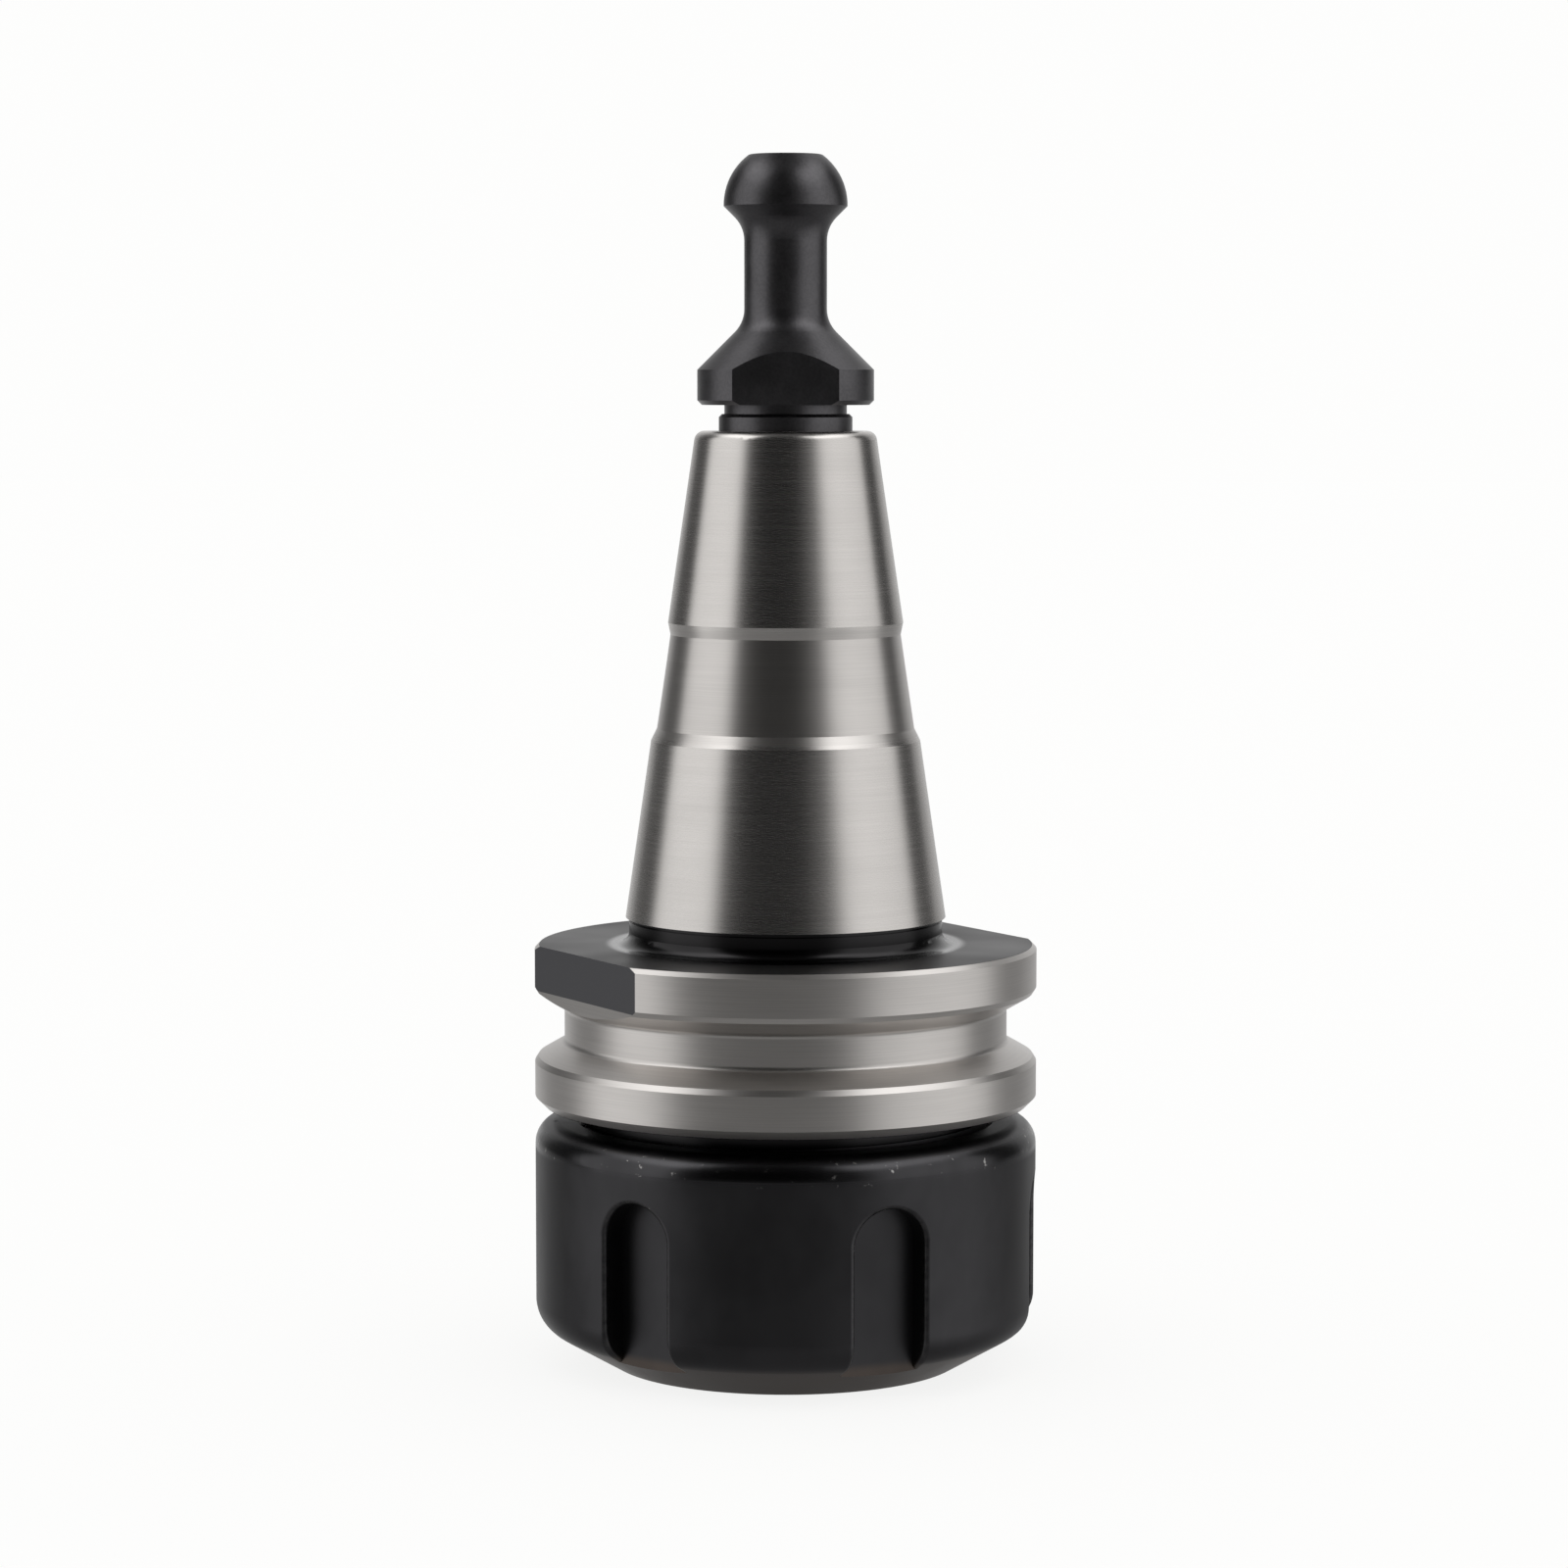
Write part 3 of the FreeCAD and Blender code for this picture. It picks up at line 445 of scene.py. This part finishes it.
holder_steel = holder_finish()
nut_oxide = nut_finish()
dress("holder_body", holder_steel)
dress("pull_stud", stud_finish())
dress("clamping_nut", nut_oxide)
dress("collet", collet_finish())
cut_nose_thread(holder_steel)
cut_nut_thread(nut_oxide)

# Studio: a white floor and world, and a tent of soft boxes and dark flags that only gloss sees.

VIEW_ANGLE = math.radians(6)
TENT_RADIUS, FLOOR_SIZE = 3.0, 8.0  # metres
WHITE = (1.0, 1.0, 0.994, 1.0)
FLOOR_GLOW, FLOOR_GLOW_SHARE = 1.006, 0.85
WORLD_LIGHT, WORLD_SEEN = 0.95, 0.985

# Brightness of the tent round the spindle axis, in degrees from the camera's side, positive to its right.
WALL_LIGHTS = (
    (-180, 0.92), (-166, 0.62), (-150, 0.36), (-138, 0.09), (-115, 0.03), (-104, 0.97), (-60, 1.01),
    (-45, 0.04), (-30, 0.01), (12, 0.015), (30, 0.10), (52, 0.93), (64, 0.97), (92, 0.90), (103, 0.82),
    (112, 0.04), (128, 0.05), (144, 0.42), (164, 0.68), (180, 0.92),
)
# The same, of what stands below the object's height.
TABLE_LIGHTS = (
    (-180, 0.92), (-160, 0.62), (-148, 0.46), (-134, 0.30), (-110, 0.22), (-92, 0.90), (-70, 0.80),
    (-46, 0.22), (24, 0.20), (48, 0.62), (80, 0.80), (98, 0.75), (114, 0.26), (134, 0.28), (148, 0.38),
    (160, 0.52), (180, 0.90),
)
# And of what stands high above it.
HIGH_LIGHTS = (
    (-180, 0.20), (-162, 0.40), (-138, 0.50), (-110, 1.70), (-60, 1.90), (-44, 0.03),
    (24, 0.03), (50, 1.90), (104, 1.70), (132, 0.90), (162, 0.50), (180, 0.20),
)
CEILING_LIGHT = 0.08
DEEP_LIGHT = 0.24
# Where each of these takes over from the last one, as a share of the tent's radius above the table.
WALL_RISE, HIGH_RISE, CEILING_RISE = (-0.12, 0.02), (0.54, 0.74), (0.84, 0.95)
DEEP_RISE = (-0.30, -0.65)


def light_ramp(graph, turn, stops):
    """A brightness that changes round the axis."""
    node = graph.node("ShaderNodeValToRGB", {}, {0: turn})
    ramp = node.color_ramp
    ramp.interpolation = "EASE"
    ramp.elements[0].color = (stops[0][1],) * 3 + (1.0,)
    ramp.elements[1].color = (stops[-1][1],) * 3 + (1.0,)
    for degrees, level in stops[1:-1]:
        element = ramp.elements.new((degrees + 180) / 360)
        element.color = (level, level, level, 1.0)
    return node.outputs[0]


def tent_material():
    material, graph = new_material("studio_tent")
    inputs = {"Vector": graph.point(), "Angle": -VIEW_ANGLE}
    turned = graph.node("ShaderNodeVectorRotate", {"rotation_type": "Z_AXIS"}, inputs)
    split = graph.node("ShaderNodeSeparateXYZ", {}, {0: turned.outputs[0]})
    across, back, height = split.outputs
    angle = graph.math("ARCTAN2", across, graph.math("MULTIPLY", back, -1.0))
    turn = graph.math("ADD", graph.math("DIVIDE", angle, 2 * math.pi), 0.5)
    rise = graph.math("DIVIDE", height, TENT_RADIUS)
    wall = light_ramp(graph, turn, WALL_LIGHTS)
    table = light_ramp(graph, turn, TABLE_LIGHTS)
    high = light_ramp(graph, turn, HIGH_LIGHTS)
    level = graph.mix(graph.ease(rise, *WALL_RISE), table, wall)
    level = graph.mix(graph.ease(rise, *HIGH_RISE), level, high)
    level = graph.mix(graph.ease(rise, *CEILING_RISE), level, CEILING_LIGHT)
    level = graph.mix(graph.ease(rise, *DEEP_RISE), level, DEEP_LIGHT)
    emission = graph.node("ShaderNodeEmission", {}, {"Strength": level})
    output = graph.node("ShaderNodeOutputMaterial")
    graph.tree.links.new(emission.outputs[0], output.inputs[0])
    material.cycles.emission_sampling = "NONE"
    return material


def seen_background(graph):
    """1 for the rays that show the background: to the camera, in gloss and through glass."""
    path = graph.node("ShaderNodeLightPath")
    gloss = graph.math("MAXIMUM", path.outputs["Is Glossy Ray"], path.outputs["Is Transmission Ray"])
    return graph.math("MAXIMUM", path.outputs["Is Camera Ray"], gloss)


def floor_material():
    """White paper that keeps a faint shadow of the object."""
    material, graph = new_material("studio_floor")
    paper = graph.node("ShaderNodeBsdfDiffuse", {}, {"Color": (0.92, 0.92, 0.92, 1.0)})
    glow = graph.node("ShaderNodeEmission", {}, {"Color": WHITE, "Strength": FLOOR_GLOW})
    share = graph.math("MULTIPLY", seen_background(graph), FLOOR_GLOW_SHARE)
    blend = graph.node("ShaderNodeMixShader", {}, {0: share, 1: paper.outputs[0], 2: glow.outputs[0]})
    output = graph.node("ShaderNodeOutputMaterial")
    graph.tree.links.new(blend.outputs[0], output.inputs[0])
    return material


def add_stage(name, build, material):
    """A mesh that belongs to the studio and not to the object."""
    mesh = bpy.data.meshes.new(name)
    work = bmesh.new()
    build(work)
    for face in work.faces:
        face.smooth = True
    work.to_mesh(mesh)
    work.free()
    mesh.materials.append(material)
    item = bpy.data.objects.new(name, mesh)
    bpy.context.scene.collection.objects.link(item)
    return item


def build_studio():
    floor = add_stage(
        "studio_floor",
        lambda work: bmesh.ops.create_grid(work, x_segments=1, y_segments=1, size=FLOOR_SIZE / 2),
        floor_material(),
    )
    floor.visible_glossy = False
    tent = add_stage(
        "studio_tent",
        lambda work: bmesh.ops.create_uvsphere(work, u_segments=96, v_segments=48, radius=TENT_RADIUS),
        tent_material(),
    )
    for ray in ("camera", "diffuse", "transmission", "shadow", "volume_scatter"):
        setattr(tent, f"visible_{ray}", False)

    world = bpy.data.worlds.new("studio_world")
    bpy.context.scene.world = world
    world.use_nodes = True
    graph = Graph(world.node_tree)
    strength = graph.mix(seen_background(graph), WORLD_LIGHT, WORLD_SEEN)
    background = graph.node("ShaderNodeBackground", {}, {"Color": WHITE, "Strength": strength})
    output = graph.node("ShaderNodeOutputWorld")
    graph.tree.links.new(background.outputs[0], output.inputs[0])


def build_camera():
    """The photographer's camera: a long lens a little above the flange, looking slightly down."""
    lens, distance, height = 104.3, 0.450, 97.7 * MM
    tilt, sideways = math.radians(5.07), 0.16 * MM
    toward = Vector((math.sin(VIEW_ANGLE), -math.cos(VIEW_ANGLE), 0))
    right = Vector((math.cos(VIEW_ANGLE), math.sin(VIEW_ANGLE), 0))
    data = bpy.data.cameras.new("camera")
    data.lens = lens
    data.sensor_width = 36.0
    data.clip_start, data.clip_end = 0.02, 20.0
    camera = bpy.data.objects.new("camera", data)
    bpy.context.scene.collection.objects.link(camera)
    camera.location = toward * distance - right * sideways + Vector((0, 0, height))
    aim = -toward * math.cos(tilt) - Vector((0, 0, math.sin(tilt)))
    camera.rotation_mode = "QUATERNION"
    camera.rotation_quaternion = aim.to_track_quat("-Z", "Y")
    bpy.context.scene.camera = camera


build_studio()
build_camera()
bpy.context.scene.view_settings.view_transform = "Standard"
